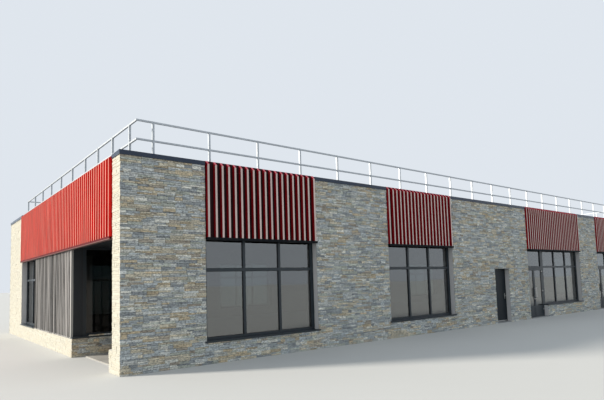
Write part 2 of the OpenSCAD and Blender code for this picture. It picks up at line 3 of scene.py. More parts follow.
import bpy
import numpy as np
from mathutils import Matrix, Vector


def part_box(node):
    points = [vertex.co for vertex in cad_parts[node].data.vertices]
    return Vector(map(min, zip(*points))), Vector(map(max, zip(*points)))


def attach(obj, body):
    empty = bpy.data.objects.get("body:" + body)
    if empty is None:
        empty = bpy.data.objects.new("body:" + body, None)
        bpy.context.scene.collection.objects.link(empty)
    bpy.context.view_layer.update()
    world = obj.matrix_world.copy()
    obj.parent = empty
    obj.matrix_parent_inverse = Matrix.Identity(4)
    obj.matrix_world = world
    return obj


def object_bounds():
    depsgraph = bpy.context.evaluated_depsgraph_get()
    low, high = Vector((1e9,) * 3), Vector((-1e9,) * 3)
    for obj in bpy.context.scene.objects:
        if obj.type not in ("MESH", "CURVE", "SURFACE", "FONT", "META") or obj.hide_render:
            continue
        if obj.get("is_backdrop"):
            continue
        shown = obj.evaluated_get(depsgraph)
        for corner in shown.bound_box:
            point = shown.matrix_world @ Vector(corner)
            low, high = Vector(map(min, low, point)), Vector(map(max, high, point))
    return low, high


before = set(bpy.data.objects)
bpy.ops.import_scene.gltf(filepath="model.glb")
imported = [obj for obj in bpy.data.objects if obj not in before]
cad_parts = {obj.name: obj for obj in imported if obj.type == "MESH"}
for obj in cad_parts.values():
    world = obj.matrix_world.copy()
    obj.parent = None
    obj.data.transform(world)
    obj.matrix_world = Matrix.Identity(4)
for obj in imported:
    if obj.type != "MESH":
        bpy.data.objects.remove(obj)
cad_low, cad_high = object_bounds()
bpy.ops.object.select_all(action="DESELECT")

# Floor slab and thresholds. The shop floor and the porch floor are one slab of
# trowelled concrete; the doors stand over thresholds of ribbed aluminium.
SLAB_GREY = (0.40, 0.385, 0.355)
THRESHOLD_GREY = (0.42, 0.43, 0.44)


def new_finish(name, colour, roughness, metallic=0.0):
    """A material with one Principled shader; returns it with its node tree."""
    finish = bpy.data.materials.new(name)
    finish.use_nodes = True
    finish.diffuse_color = (*colour, 1.0)
    shader = finish.node_tree.nodes["Principled BSDF"]
    shader.inputs["Base Color"].default_value = (*colour, 1.0)
    shader.inputs["Roughness"].default_value = roughness
    shader.inputs["Metallic"].default_value = metallic
    return finish, finish.node_tree, shader


def place_on_object(tree, stretch=(1, 1, 1)):
    """Object coordinates, stretched along the three axes."""
    where = tree.nodes.new("ShaderNodeTexCoord")
    mapping = tree.nodes.new("ShaderNodeMapping")
    mapping.inputs["Scale"].default_value = stretch
    tree.links.new(where.outputs["Object"], mapping.inputs["Vector"])
    return mapping.outputs["Vector"]


def mottling(tree, place, scale, detail=4.0, roughness=0.55):
    """Cloudy pattern between 0 and 1."""
    noise = tree.nodes.new("ShaderNodeTexNoise")
    noise.inputs["Scale"].default_value = scale
    noise.inputs["Detail"].default_value = detail
    noise.inputs["Roughness"].default_value = roughness
    tree.links.new(place, noise.inputs["Vector"])
    return noise.outputs["Fac"]


def between(tree, pattern, low, high, start=0.3, end=0.7):
    """Turns a pattern into numbers from low to high."""
    span = tree.nodes.new("ShaderNodeMapRange")
    span.inputs["From Min"].default_value = start
    span.inputs["From Max"].default_value = end
    span.inputs["To Min"].default_value = low
    span.inputs["To Max"].default_value = high
    tree.links.new(pattern, span.inputs["Value"])
    return span.outputs["Result"]


def blend_tones(tree, pattern, first, second, mode="MIX"):
    """Mixes two tones by a pattern; a tone is a colour or a colour output."""
    mix = tree.nodes.new("ShaderNodeMix")
    mix.data_type = "RGBA"
    mix.blend_type = mode
    if isinstance(pattern, float):
        mix.inputs[0].default_value = pattern
    else:
        tree.links.new(pattern, mix.inputs[0])
    for socket, tone in ((mix.inputs[6], first), (mix.inputs[7], second)):
        if isinstance(tone, tuple):
            socket.default_value = (*tone, 1.0)
        else:
            tree.links.new(tone, socket)
    return mix.outputs[2]


def shaded(colour, share):
    """A colour made darker or lighter by a share."""
    return tuple(part * share for part in colour)


def roughen(tree, shader, pattern, depth):
    """Relief from a pattern, its depth in metres."""
    bump = tree.nodes.new("ShaderNodeBump")
    bump.inputs["Strength"].default_value = 1.0
    bump.inputs["Distance"].default_value = depth
    tree.links.new(pattern, bump.inputs["Height"])
    tree.links.new(bump.outputs["Normal"], shader.inputs["Normal"])


def weather(tree, shader, pattern, tone, shares, roughness):
    """Varies a finish with one pattern: shares of its tone, and its roughness."""
    dark, light = (shaded(tone, share) for share in shares)
    tree.links.new(blend_tones(tree, pattern, dark, light), shader.inputs["Base Color"])
    tree.links.new(between(tree, pattern, *roughness), shader.inputs["Roughness"])


def dress(finish, *nodes):
    """Puts a material on the solids that are shown as they are."""
    for node in nodes:
        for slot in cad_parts[node].material_slots:
            slot.material = finish


trowelled_concrete, tree, shader = new_finish("trowelled_concrete", SLAB_GREY, 0.7)
place = place_on_object(tree)
clouds = mottling(tree, place, 1.6, 8.0)
weather(tree, shader, clouds, SLAB_GREY, (0.75, 1.2), (0.5, 0.8))
roughen(tree, shader, mottling(tree, place, 90.0, 6.0), 0.0015)
dress(trowelled_concrete, "floor_slab")

ribbed_threshold, tree, shader = new_finish("ribbed_threshold", THRESHOLD_GREY, 0.4, 0.85)
place = place_on_object(tree)
ribs = tree.nodes.new("ShaderNodeTexWave")
ribs.bands_direction = "Y"
ribs.inputs["Scale"].default_value = 22.0
tree.links.new(place, ribs.inputs["Vector"])
roughen(tree, shader, ribs.outputs["Fac"], 0.002)
scuffs = mottling(tree, place, 14.0, 8.0, 0.7)
weather(tree, shader, scuffs, THRESHOLD_GREY, (0.6, 1.0), (0.3, 0.6))
dress(ribbed_threshold, "thresholds")

# Walls. Block walls with pale plaster in the reveals and inside the shop; their
# outer faces carry the dark bedding mortar of the stone facing.
PLASTER = (0.76, 0.735, 0.72)
BEDDING = (0.12, 0.112, 0.10)
BEDDING_SKIN = 0.001
FRONT_WALL_T, SIDE_WALL_T = 0.5, 0.3
walls_low, walls_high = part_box("front_piers")
HALF_LENGTH, HALF_DEPTH = round(-walls_low.x, 4), round(-walls_low.y, 4)
WALL_H = walls_high.z


def reckon(tree, operation, *terms):
    """The result of a math node; a term is a number or an output."""
    step = tree.nodes.new("ShaderNodeMath")
    step.operation = operation
    for socket, term in zip(step.inputs, terms):
        if isinstance(term, (int, float)):
            socket.default_value = term
        else:
            tree.links.new(term, socket)
    return step.outputs[0]


def object_axes(tree):
    """Object coordinates as separate X, Y and Z outputs."""
    axes = tree.nodes.new("ShaderNodeSeparateXYZ")
    tree.links.new(place_on_object(tree), axes.inputs["Vector"])
    return axes.outputs


def beyond_walls(tree, distance, lean=0.0):
    """1 where a point lies further than a distance outside the wall faces; a
    lean takes the boundary inwards with the height."""
    axes = object_axes(tree)
    past_end = reckon(tree, "SUBTRACT", reckon(tree, "ABSOLUTE", axes["X"]), HALF_LENGTH)
    past_front = reckon(tree, "SUBTRACT", reckon(tree, "ABSOLUTE", axes["Y"]), HALF_DEPTH)
    furthest = reckon(tree, "MAXIMUM", past_end, past_front)
    leaning = reckon(tree, "MULTIPLY_ADD", axes["Z"], lean, furthest)
    return reckon(tree, "GREATER_THAN", leaning, distance)


plastered_wall, tree, shader = new_finish("plastered_wall", PLASTER, 0.85)
place = place_on_object(tree)
float_marks = mottling(tree, place, 2.5, 10.0, 0.6)
plaster = blend_tones(tree, float_marks, shaded(PLASTER, 0.86), shaded(PLASTER, 1.1))
tree.links.new(
    blend_tones(tree, beyond_walls(tree, -BEDDING_SKIN), plaster, BEDDING),
    shader.inputs["Base Color"],
)
roughen(tree, shader, mottling(tree, place, 140.0, 4.0), 0.001)
dress(plastered_wall, "front_piers", "rear_piers", "side_piers", "lintels",
      "left_fascia_beam", "porch_side_lintel", "porch_back_lintel", "low_walls")

bedding_mortar, tree, shader = new_finish("bedding_mortar", BEDDING, 0.95)
place = place_on_object(tree)
lumps = mottling(tree, place, 30.0, 8.0)
tree.links.new(
    blend_tones(tree, lumps, shaded(BEDDING, 0.7), shaded(BEDDING, 1.5)),
    shader.inputs["Base Color"],
)
roughen(tree, shader, lumps, 0.003)
dress(bedding_mortar, "porch_low_wall")

# Stone facing. Ledge-stone panels 600 by 150 mm, made of split strips of grey,
# blue-grey, beige and ochre quartzite, are bedded on the outer faces in courses
# and lapped at the corners. The strips of the sunlit left side are painted pale
# and alike, with faint veins and specks: painted sunlight.
COURSE_H, PANEL_W = 0.15, 0.6
ROWS = ((0.05, 0.05, 0.05), (0.038, 0.037, 0.075), (0.075, 0.035, 0.04),
        (0.035, 0.04, 0.035, 0.04), (0.03, 0.07, 0.05), (0.06, 0.03, 0.06),
        (0.045, 0.03, 0.045, 0.03))
STRIP_LENGTHS, LEAST_LENGTH, LEAST_STRIP = (0.12, 0.38), 0.1, 0.012
JOINT, CORNER_LAP, SPLIT_RIPPLE = 0.0025, 0.014, 0.0025
STRIP_DEPTHS, CHAMFERS = (0.007, 0.010, 0.013, 0.017), (0.0015, 0.004)
STUB_W = 0.22
STONE_TONES = np.array((
    (0.460, 0.495, 0.510), (0.580, 0.595, 0.580), (0.690, 0.680, 0.620),
    (0.600, 0.545, 0.430), (0.560, 0.470, 0.330), (0.440, 0.390, 0.320),
    (0.340, 0.365, 0.380), (0.500, 0.520, 0.465),
))
# Pale tone painted on the strips of the sunlit left side: painted sunlight.
SUNLIT_PAINTED_TONE = np.array((0.560, 0.535, 0.450))
COOL_SHARES = (0.24, 0.24, 0.10, 0.09, 0.02, 0.04, 0.14, 0.13)
WARM_SHARES = (0.10, 0.15, 0.10, 0.28, 0.13, 0.09, 0.07, 0.08)
# The second of these is the share of that painted sunlight on the left side.
WARM_PANELS, SUNLIT_PAINT_SHARE, TONE_SPREAD = 0.38, 0.9, (0.88, 1.28)
VEIN_SHADES = ((-0.22, -0.20, -0.17), (0.22, 0.19, 0.14))
# Dark and light specks painted as the shade and light of the split relief.
RELIEF_SHADOW_SHADES = ((-0.50, -0.50, -0.49), (0.32, 0.31, 0.29))


def solids_of(node):
    """Lowest and highest corner of each separate solid of a node."""
    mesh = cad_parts[node].data
    keys, owner = {}, []

    def root(item):
        while owner[item] != item:
            owner[item] = owner[owner[item]]
            item = owner[item]
        return item

    places = []
    for vertex in mesh.vertices:
        key = tuple(round(part, 5) for part in vertex.co)
        if key not in keys:
            keys[key] = len(owner)
            owner.append(len(owner))
        places.append(keys[key])
    for polygon in mesh.polygons:
        first = root(places[polygon.vertices[0]])
        for vertex in polygon.vertices:
            owner[root(places[vertex])] = first
    groups = {}
    for key, item in keys.items():
        groups.setdefault(root(item), []).append(key)
    boxes = [(np.min(group, axis=0), np.max(group, axis=0)) for group in groups.values()]
    return sorted(boxes, key=lambda box: tuple(box[0]))


bpy.ops.mesh.primitive_cube_add(size=1, location=(0.5, -0.5, 0.5))
strip_model = bpy.context.object
bpy.ops.object.mode_set(mode="EDIT")
bpy.ops.mesh.select_all(action="SELECT")
bpy.ops.mesh.bisect(plane_co=(0.5, 0, 0), plane_no=(1, 0, 0))
bpy.ops.object.mode_set(mode="OBJECT")
bpy.ops.object.transform_apply(location=True, rotation=True, scale=True)
STRIP_POINTS = np.array([vertex.co[:] for vertex in strip_model.data.vertices])
STRIP_FACES = np.array([polygon.vertices[:] for polygon in strip_model.data.polygons])
bpy.data.objects.remove(strip_model)


def cut_round(strips, hole):
    """What is left of flat strips round a rectangular hole."""
    left, right, low, high = hole
    kept = []
    for strip in strips:
        u0, u1, z0, z1 = strip
        if u1 <= left or u0 >= right or z1 <= low or z0 >= high:
            kept.append(strip)
            continue
        kept.append((u0, left, z0, z1))
        kept.append((right, u1, z0, z1))
        inner0, inner1 = max(u0, left), min(u1, right)
        kept.append((inner0, inner1, z0, low))
        kept.append((inner0, inner1, high, z1))
    return [s for s in kept if s[1] - s[0] > LEAST_STRIP and s[3] - s[2] > LEAST_STRIP]


def split_row(panel_at, dice):
    """Start and end of each strip in one row of a panel."""
    at, panel_end = panel_at, panel_at + PANEL_W
    while at < panel_end - 0.001:
        long = dice.uniform(*STRIP_LENGTHS)
        if panel_end - at - long < LEAST_LENGTH:
            long = panel_end - at
        yield at, at + long
        at += long


def lay_courses(width, top, holes, laps_odd, warm_panels, dice):
    """Strips of all courses of one face, and for each whether its panel is warm."""
    laid, tones = [], []
    for course in range(math.ceil(top / COURSE_H)):
        lap = CORNER_LAP if course % 2 == laps_odd else 0.0
        panel_at = -dice.uniform(LEAST_LENGTH, PANEL_W - LEAST_LENGTH)
        while panel_at < width:
            rows = ROWS[dice.randint(len(ROWS))]
            warm = dice.rand() < warm_panels
            low = course * COURSE_H
            for row in rows:
                for start, end in split_row(panel_at, dice):
                    u0 = -lap if start <= 0 else start
                    u1 = width + lap if end >= width else end
                    pieces = [(u0, u1, low, min(low + row, top))]
                    for hole in holes:
                        pieces = cut_round(pieces, hole)
                    kept = [piece for piece in pieces if piece[1] - piece[0] > LEAST_STRIP]
                    laid += kept
                    tones += [warm] * len(kept)
                low += row
            panel_at += PANEL_W
    return np.array(laid), np.array(tones)


def bed_strips(name, corner, along, out, strips, warm, sunlit_paint, dice):
    """Beds strips on a face: one joined mesh of split stones. Strips of the
    sunlit face are painted paler and alike, as painted sunlight, with finer joints and less depth."""
    count = len(strips)
    points = np.repeat(STRIP_POINTS[None], count, axis=0)
    front = -points[:, :, 1]
    chamfer = front * dice.uniform(*CHAMFERS, (count, 1))
    gap = JOINT / 2 * (1 - 0.6 * sunlit_paint)
    long = (strips[:, 1] - strips[:, 0] - 2 * gap)[:, None]
    high = (strips[:, 3] - strips[:, 2] - 2 * gap)[:, None]
    u = strips[:, 0, None] + gap + points[:, :, 0] * long
    u = u + chamfer * (1 - 2 * points[:, :, 0])
    z = strips[:, 2, None] + gap + points[:, :, 2] * high
    z = z + chamfer * (1 - 2 * points[:, :, 2])
    depth = dice.choice(STRIP_DEPTHS, (count, 1)) * (1 - 0.4 * sunlit_paint)
    ripple = dice.uniform(-SPLIT_RIPPLE, SPLIT_RIPPLE, (count, len(STRIP_POINTS)))
    w = front * (depth + ripple)
    along, out = np.array(along), np.array(out)
    place = np.array(corner) + u[:, :, None] * along + w[:, :, None] * out
    place[:, :, 2] = z
    faces = STRIP_FACES[None] + (np.arange(count) * len(STRIP_POINTS))[:, None, None]
    mesh = bpy.data.meshes.new(name)
    mesh.from_pydata(place.reshape(-1, 3).tolist(), [], faces.reshape(-1, 4).tolist())
    tone = np.empty((count, 4))
    for chosen, shares in ((True, WARM_SHARES), (False, COOL_SHARES)):
        here = warm == chosen
        tone[here, :3] = STONE_TONES[dice.choice(len(STONE_TONES), here.sum(), p=shares)]
    tone[:, :3] *= dice.uniform(*TONE_SPREAD, (count, 1))
    tone[:, :3] = tone[:, :3] * (1 - sunlit_paint) + SUNLIT_PAINTED_TONE * sunlit_paint
    tone[:, 3] = dice.rand(count)
    attribute = mesh.color_attributes.new("stone_tone", "FLOAT_COLOR", "POINT")
    attribute.data.foreach_set("color", np.repeat(tone, len(STRIP_POINTS), axis=0).ravel())
    mesh.materials.append(sunlit_painted_stone if sunlit_paint else split_stone)
    facing = bpy.data.objects.new(name, mesh)
    bpy.context.collection.objects.link(facing)
    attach(facing, "building")


def face_wall(name, seed, corner, along, out, width, holes, top=WALL_H, laps_odd=0,
              warm_panels=WARM_PANELS, sunlit_paint=0.0):
    """Lays and beds the strips of one face from one seed."""
    dice = np.random.RandomState(seed)
    strips, warm = lay_courses(width, top, holes, laps_odd, warm_panels, dice)
    bed_strips(name, corner, along, out, strips, warm, sunlit_paint, dice)


def split_finish(name, contrast, depth):
    """Split stone: veins, specks painted as the shade and light of the split relief, and chipped
    ledges in bump, over the tone of each strip.
    """
    def contrasted(shades):
        return [tuple(1 + contrast * part for part in shade) for shade in shades]

    finish, tree, shader = new_finish(name, (0.3, 0.29, 0.26), 0.85)
    tone_of_strip = tree.nodes.new("ShaderNodeAttribute")
    tone_of_strip.attribute_name = "stone_tone"
    shift = tree.nodes.new("ShaderNodeVectorMath")
    shift.operation = "MULTIPLY_ADD"
    tree.links.new(tone_of_strip.outputs["Alpha"], shift.inputs[0])
    shift.inputs[1].default_value = (60.0, 60.0, 60.0)
    tree.links.new(place_on_object(tree, (7.0, 7.0, 42.0)), shift.inputs[2])
    streaks = mottling(tree, shift.outputs["Vector"], 1.0, 7.0, 0.6)
    veins = blend_tones(tree, between(tree, streaks, 0, 1), *contrasted(VEIN_SHADES))
    chips = mottling(tree, shift.outputs["Vector"], 3.2, 8.0, 0.65)
    shadow_specks = mottling(tree, place_on_object(tree, (20.0, 20.0, 45.0)), 1.0, 4.0, 0.7)
    painted_relief_shadows = blend_tones(tree, between(tree, shadow_specks, 0, 1, 0.36, 0.6),
                         *contrasted(RELIEF_SHADOW_SHADES))
    veined = blend_tones(tree, 1.0, tone_of_strip.outputs["Color"], veins, "MULTIPLY")
    tree.links.new(
        blend_tones(tree, 1.0, veined, painted_relief_shadows, "MULTIPLY"),
        shader.inputs["Base Color"],
    )
    tree.links.new(between(tree, streaks, 0.95, 0.6), shader.inputs["Roughness"])
    roughen(tree, shader, chips, depth)
    return finish


split_stone = split_finish("split_stone", 1.0, 0.005)
# Faint veins and specks for the sunlit left side: painted sunlight.
sunlit_painted_stone = split_finish("sunlit_painted_stone", 0.16, 0.0012)

low_wall_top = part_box("porch_low_wall")[1].z
front_holes = [(low[0] + HALF_LENGTH, high[0] + HALF_LENGTH, low_wall_top, WALL_H + 1)
               for low, high in solids_of("front_fin_panels")]
for low, high in solids_of("thresholds"):
    head = WALL_H + 1
    if high[0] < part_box("service_door_frame")[1].x + 0.1:
        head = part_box("service_door_frame")[1].z
    front_holes.append((low[0] + HALF_LENGTH, high[0] + HALF_LENGTH, -1, head))
face_wall("front_stone_facing", 7, (-HALF_LENGTH, -HALF_DEPTH, 0), (1, 0, 0), (0, -1, 0),
          2 * HALF_LENGTH, front_holes)

rear_holes = [(HALF_LENGTH - high[0], HALF_LENGTH - low[0], low_wall_top, WALL_H + 1)
              for low, high in solids_of("rear_fin_panels")]
face_wall("rear_stone_facing", 11, (HALF_LENGTH, HALF_DEPTH, 0), (-1, 0, 0), (0, 1, 0),
          2 * HALF_LENGTH, rear_holes)

right_holes = [(low[1] + HALF_DEPTH, high[1] + HALF_DEPTH, low_wall_top, WALL_H + 1)
               for low, high in solids_of("right_fin_panels")]
face_wall("right_stone_facing", 13, (HALF_LENGTH, -HALF_DEPTH, 0), (0, 1, 0), (1, 0, 0),
          2 * HALF_DEPTH, right_holes, laps_odd=1)

panel_low, panel_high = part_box("left_fin_panel")
porch_wall_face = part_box("porch_low_wall")[0].y
left_holes = [
    (HALF_DEPTH - panel_high.y, HALF_DEPTH - panel_low.y, low_wall_top, WALL_H + 1),
    (HALF_DEPTH - porch_wall_face, HALF_DEPTH - panel_low.y - STUB_W, -1, low_wall_top),
]
# The sunlit left side takes the painted sunlight.
face_wall("left_stone_facing", 17, (-HALF_LENGTH, HALF_DEPTH, 0), (0, -1, 0), (-1, 0, 0),
          2 * HALF_DEPTH, left_holes, laps_odd=1, sunlit_paint=SUNLIT_PAINT_SHARE)

# All porch panels take the warm tones: the stone's own ochre, and painted warm bounce light in the
# porch.
porch_wall_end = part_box("porch_low_wall")[1].x + HALF_LENGTH
face_wall("porch_stone_facing", 19, (-HALF_LENGTH, porch_wall_face, 0), (1, 0, 0), (0, -1, 0),
          porch_wall_end, [], top=low_wall_top, warm_panels=1.0)

# Roof covering. Mineral-faced felt in metre-wide sheets, each lapped over the
# next and torched down, with upstands of the same felt inside the parapet.
FELT_GREY = (0.16, 0.165, 0.17)
SHEET_W, LEAST_LAP, FELT_T = 1.0, 0.08, 0.004
UPSTAND_H, UPSTAND_T = 0.16, 0.008

mineral_felt, tree, shader = new_finish("mineral_felt", FELT_GREY, 0.9)
place = place_on_object(tree)
puddles = mottling(tree, place, 0.7, 8.0, 0.6)
granules = mottling(tree, place, 320.0, 2.0)
weathered = blend_tones(tree, puddles, shaded(FELT_GREY, 0.75), shaded(FELT_GREY, 1.5))
tree.links.new(
    blend_tones(tree, granules, weathered, shaded(FELT_GREY, 2.2)),
    shader.inputs["Base Color"],
)
tree.links.new(between(tree, puddles, 0.75, 0.95), shader.inputs["Roughness"])
roughen(tree, shader, granules, 0.0015)
dress(mineral_felt, "roof_deck")


def finish_piece(piece, name, finish, body="building"):
    """Names a made piece, sets its place into its mesh and lets it ride."""
    bpy.ops.object.select_all(action="DESELECT")
    piece.select_set(True)
    bpy.context.view_layer.objects.active = piece
    bpy.ops.object.transform_apply(location=True, rotation=True, scale=True)
    piece.name = name
    piece.data.name = name
    piece.data.materials.clear()
    piece.data.materials.append(finish)
    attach(piece, body)
    piece.select_set(False)


def add_block(low, high, bevel=0.0, segments=1):
    """A block between two corners, with its edges bevelled."""
    low, high = Vector(low), Vector(high)
    bpy.ops.object.select_all(action="DESELECT")
    bpy.ops.mesh.primitive_cube_add(size=1, location=(low + high) / 2)
    block = bpy.context.object
    block.scale = high - low
    bpy.ops.object.transform_apply(location=True, rotation=True, scale=True)
    if bevel:
        bpy.ops.object.mode_set(mode="EDIT")
        bpy.ops.mesh.select_all(action="SELECT")
        bpy.ops.mesh.bevel(offset=bevel, segments=segments, affect="EDGES")
        bpy.ops.object.mode_set(mode="OBJECT")
    return block


def join_blocks(blocks):
    """Joins made blocks into one object."""
    bpy.ops.object.select_all(action="DESELECT")
    for block in blocks:
        block.select_set(True)
    bpy.context.view_layer.objects.active = blocks[0]
    bpy.ops.object.join()
    return bpy.context.object


def repeat_along_x(piece, count, pitch):
    """Repeats the active piece along X with an array."""
    row = piece.modifiers.new("row", "ARRAY")
    row.count = count
    row.use_relative_offset = False
    row.use_constant_offset = True
    row.constant_offset_displace = (pitch, 0, 0)
    bpy.ops.object.modifier_apply(modifier="row")


deck_low, deck_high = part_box("roof_deck")
sheet = add_block((deck_low.x, deck_low.y, deck_high.z),
                  (deck_low.x + SHEET_W, deck_high.y, deck_high.z + FELT_T), 0.001)
bpy.ops.object.mode_set(mode="EDIT")
bpy.ops.mesh.select_all(action="SELECT")
bpy.ops.transform.rotate(value=-math.atan(FELT_T / SHEET_W), orient_axis="Y",
                         center_override=(deck_low.x, 0, deck_high.z))
bpy.ops.object.mode_set(mode="OBJECT")
deck_length = deck_high.x - deck_low.x
sheet_count = math.ceil((deck_length - LEAST_LAP) / (SHEET_W - LEAST_LAP))
repeat_along_x(sheet, sheet_count, (deck_length - SHEET_W) / (sheet_count - 1))
finish_piece(sheet, "roof_felt_sheets", mineral_felt)

upstand = join_blocks([
    add_block((left, front, deck_high.z), (right, back, deck_high.z + UPSTAND_H), 0.002)
    for left, front, right, back in (
        (deck_low.x, deck_low.y, deck_high.x, deck_low.y + UPSTAND_T),
        (deck_low.x, deck_high.y - UPSTAND_T, deck_high.x, deck_high.y),
        (deck_low.x, deck_low.y, deck_low.x + UPSTAND_T, deck_high.y),
        (deck_high.x - UPSTAND_T, deck_low.y, deck_high.x, deck_high.y))
])
finish_piece(upstand, "roof_felt_upstand", mineral_felt)

# Coping. Lengths of dark powder-coated aluminium sheet folded over the wall
# tops with a drip at each side, the joints under bent cover strips.
COPING_TONE, DUST_TONE = (0.007, 0.022, 0.055), (0.030, 0.045, 0.070)
COVER_W, COVER_T, COPING_BAY, COVER_SHIFT = 0.09, 0.002, 3.0, 0.15
COPING_OVER, COPING_SET, COPING_FALL = 0.028, 0.031, 0.015

coated_coping, tree, shader = new_finish("coated_coping", COPING_TONE, 0.25)
place = place_on_object(tree)
dust = mottling(tree, place, 5.0, 8.0, 0.65)
tree.links.new(
    blend_tones(tree, between(tree, dust, 0.0, 1.0, 0.5, 0.8), COPING_TONE, DUST_TONE),
    shader.inputs["Base Color"],
)
tree.links.new(between(tree, dust, 0.12, 0.28), shader.inputs["Roughness"])
roughen(tree, shader, mottling(tree, place, 260.0, 2.0), 0.0003)
dress(coated_coping, "front_coping", "rear_coping", "left_coping", "right_coping")


def copies_of(model, places):
    """All copies of a modelled piece, joined in one mesh; a place is a matrix."""
    points = np.array([vertex.co[:] for vertex in model.data.vertices])
    faces = [polygon.vertices[:] for polygon in model.data.polygons]
    smooth = [polygon.use_smooth for polygon in model.data.polygons]
    all_points, all_faces = [], []
    for number, place in enumerate(places):
        turned = points @ np.array(place.to_3x3()).T + np.array(place.translation)
        all_points.extend(turned.tolist())
        all_faces.extend([tuple(v + number * len(points) for v in face) for face in faces])
    mesh = bpy.data.meshes.new("copies")
    mesh.from_pydata(all_points, [], all_faces)
    mesh.polygons.foreach_set("use_smooth", smooth * len(places))
    joined = bpy.data.objects.new("copies", mesh)
    bpy.context.collection.objects.link(joined)
    bpy.data.objects.remove(model)
    return joined


def pick_faces(piece, wanted):
    """Selects the faces of a piece in edit mode for which wanted(face) holds."""
    bpy.ops.object.mode_set(mode="OBJECT")
    for part in (piece.data.vertices, piece.data.edges, piece.data.polygons):
        part.foreach_set("select", [False] * len(part))
    for polygon in piece.data.polygons:
        polygon.select = bool(wanted(polygon))
    bpy.context.tool_settings.mesh_select_mode = (False, False, True)
    bpy.ops.object.mode_set(mode="EDIT")


coping_low, coping_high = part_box("front_coping")
coping_middle = (coping_low.z + coping_high.z) / 2


def coping_cover(thickness, behind_panel):
    """A cover strip on a coping over a wall that runs along X, its face at y = 0."""
    front = COPING_SET if behind_panel else -COPING_OVER
    back = thickness + COPING_OVER
    cover = add_block((-COVER_W / 2, front, coping_low.z), (COVER_W / 2, back, coping_high.z))
    for vertex in cover.data.vertices:
        if vertex.co.z > coping_middle:
            vertex.co.z -= COPING_FALL * (vertex.co.y + COPING_OVER) / (back + COPING_OVER)
    pick_faces(cover, lambda face: face.normal.z < -0.9 or abs(face.normal.x) > 0.9
               or (behind_panel and face.normal.y < -0.9))
    bpy.ops.mesh.delete(type="FACE")
    bpy.ops.object.mode_set(mode="OBJECT")
    fold = cover.modifiers.new("sheet", "SOLIDIFY")
    fold.thickness = COVER_T
    fold.offset = 1.0
    bpy.ops.object.modifier_apply(modifier="sheet")
    return cover


def turned_place(x, y, z, turn=0.0):
    """A place as a matrix, turned about the vertical by a number of degrees."""
    return Matrix.Translation((x, y, z)) @ Matrix.Rotation(math.radians(turn), 4, "Z")


# Each side's fascia node, the axis along it, half its length, the place of its
# wall face, the turn from the front and the thickness of its wall.
SIDES = (
    ("front_fin_panels", 0, HALF_LENGTH, -HALF_DEPTH, 0, FRONT_WALL_T),
    ("rear_fin_panels", 0, HALF_LENGTH, HALF_DEPTH, 180, FRONT_WALL_T),
    ("left_fin_panel", 1, HALF_DEPTH, -HALF_LENGTH, -90, SIDE_WALL_T),
    ("right_fin_panels", 1, HALF_DEPTH, HALF_LENGTH, 90, SIDE_WALL_T),
)
cover_runs = []
for node, along, half, wall, turn, thickness in SIDES:
    spans = [(low[along], high[along]) for low, high in solids_of(node)]
    bays = round(2 * half / COPING_BAY)
    places = {True: [], False: []}
    for bay in range(1, bays):
        at = -half + bay * 2 * half / bays
        if min(abs(at - end) for span in spans for end in span) < COVER_W:
            at += COVER_SHIFT
        behind = any(low < at < high for low, high in spans)
        x, y = (at, wall) if along == 0 else (wall, at)
        places[behind].append(turned_place(x, y, 0, turn))
    for behind, chosen in places.items():
        if chosen:
            cover_runs.append(copies_of(coping_cover(thickness, behind), chosen))
finish_piece(join_blocks(cover_runs), "coping_joint_covers", coated_coping)

# Guardrail. Welded square tube, hot-dip galvanised in lengths, standing on base
# plates that are bolted through the roof covering behind the parapet.
ZINC = (0.50, 0.53, 0.56)
BASE_PLATE_W, BASE_PLATE_T = 0.1, 0.012
BOLT_R, BOLT_H, BOLT_IN, STUD_IN, STUD_H = 0.009, 0.012, 0.014, 0.003, 0.006

galvanised_tube, tree, shader = new_finish("galvanised_tube", ZINC, 0.42, 0.55)
place = place_on_object(tree)
spangle = tree.nodes.new("ShaderNodeTexVoronoi")
spangle.inputs["Scale"].default_value = 45.0
tree.links.new(place, spangle.inputs["Vector"])
crystal = tree.nodes.new("ShaderNodeSeparateColor")
tree.links.new(spangle.outputs["Color"], crystal.inputs["Color"])
tree.links.new(between(tree, crystal.outputs[0], 0.34, 0.56, 0, 1), shader.inputs["Roughness"])
tree.links.new(
    blend_tones(tree, crystal.outputs[1], shaded(ZINC, 0.82), shaded(ZINC, 1.12)),
    shader.inputs["Base Color"],
)
dress(galvanised_tube, "front_guardrail", "rear_guardrail", "left_guardrail", "right_guardrail")


def add_cylinder(sides, radius, depth, location, tilt=0):
    """An upright cylinder or prism, or one tilted about X by a number of degrees."""
    bpy.ops.object.select_all(action="DESELECT")
    bpy.ops.mesh.primitive_cylinder_add(vertices=sides, radius=radius, depth=depth,
                                        location=location, rotation=(math.radians(tilt), 0, 0))
    bpy.ops.object.transform_apply(location=True, rotation=True, scale=True)
    return bpy.context.object


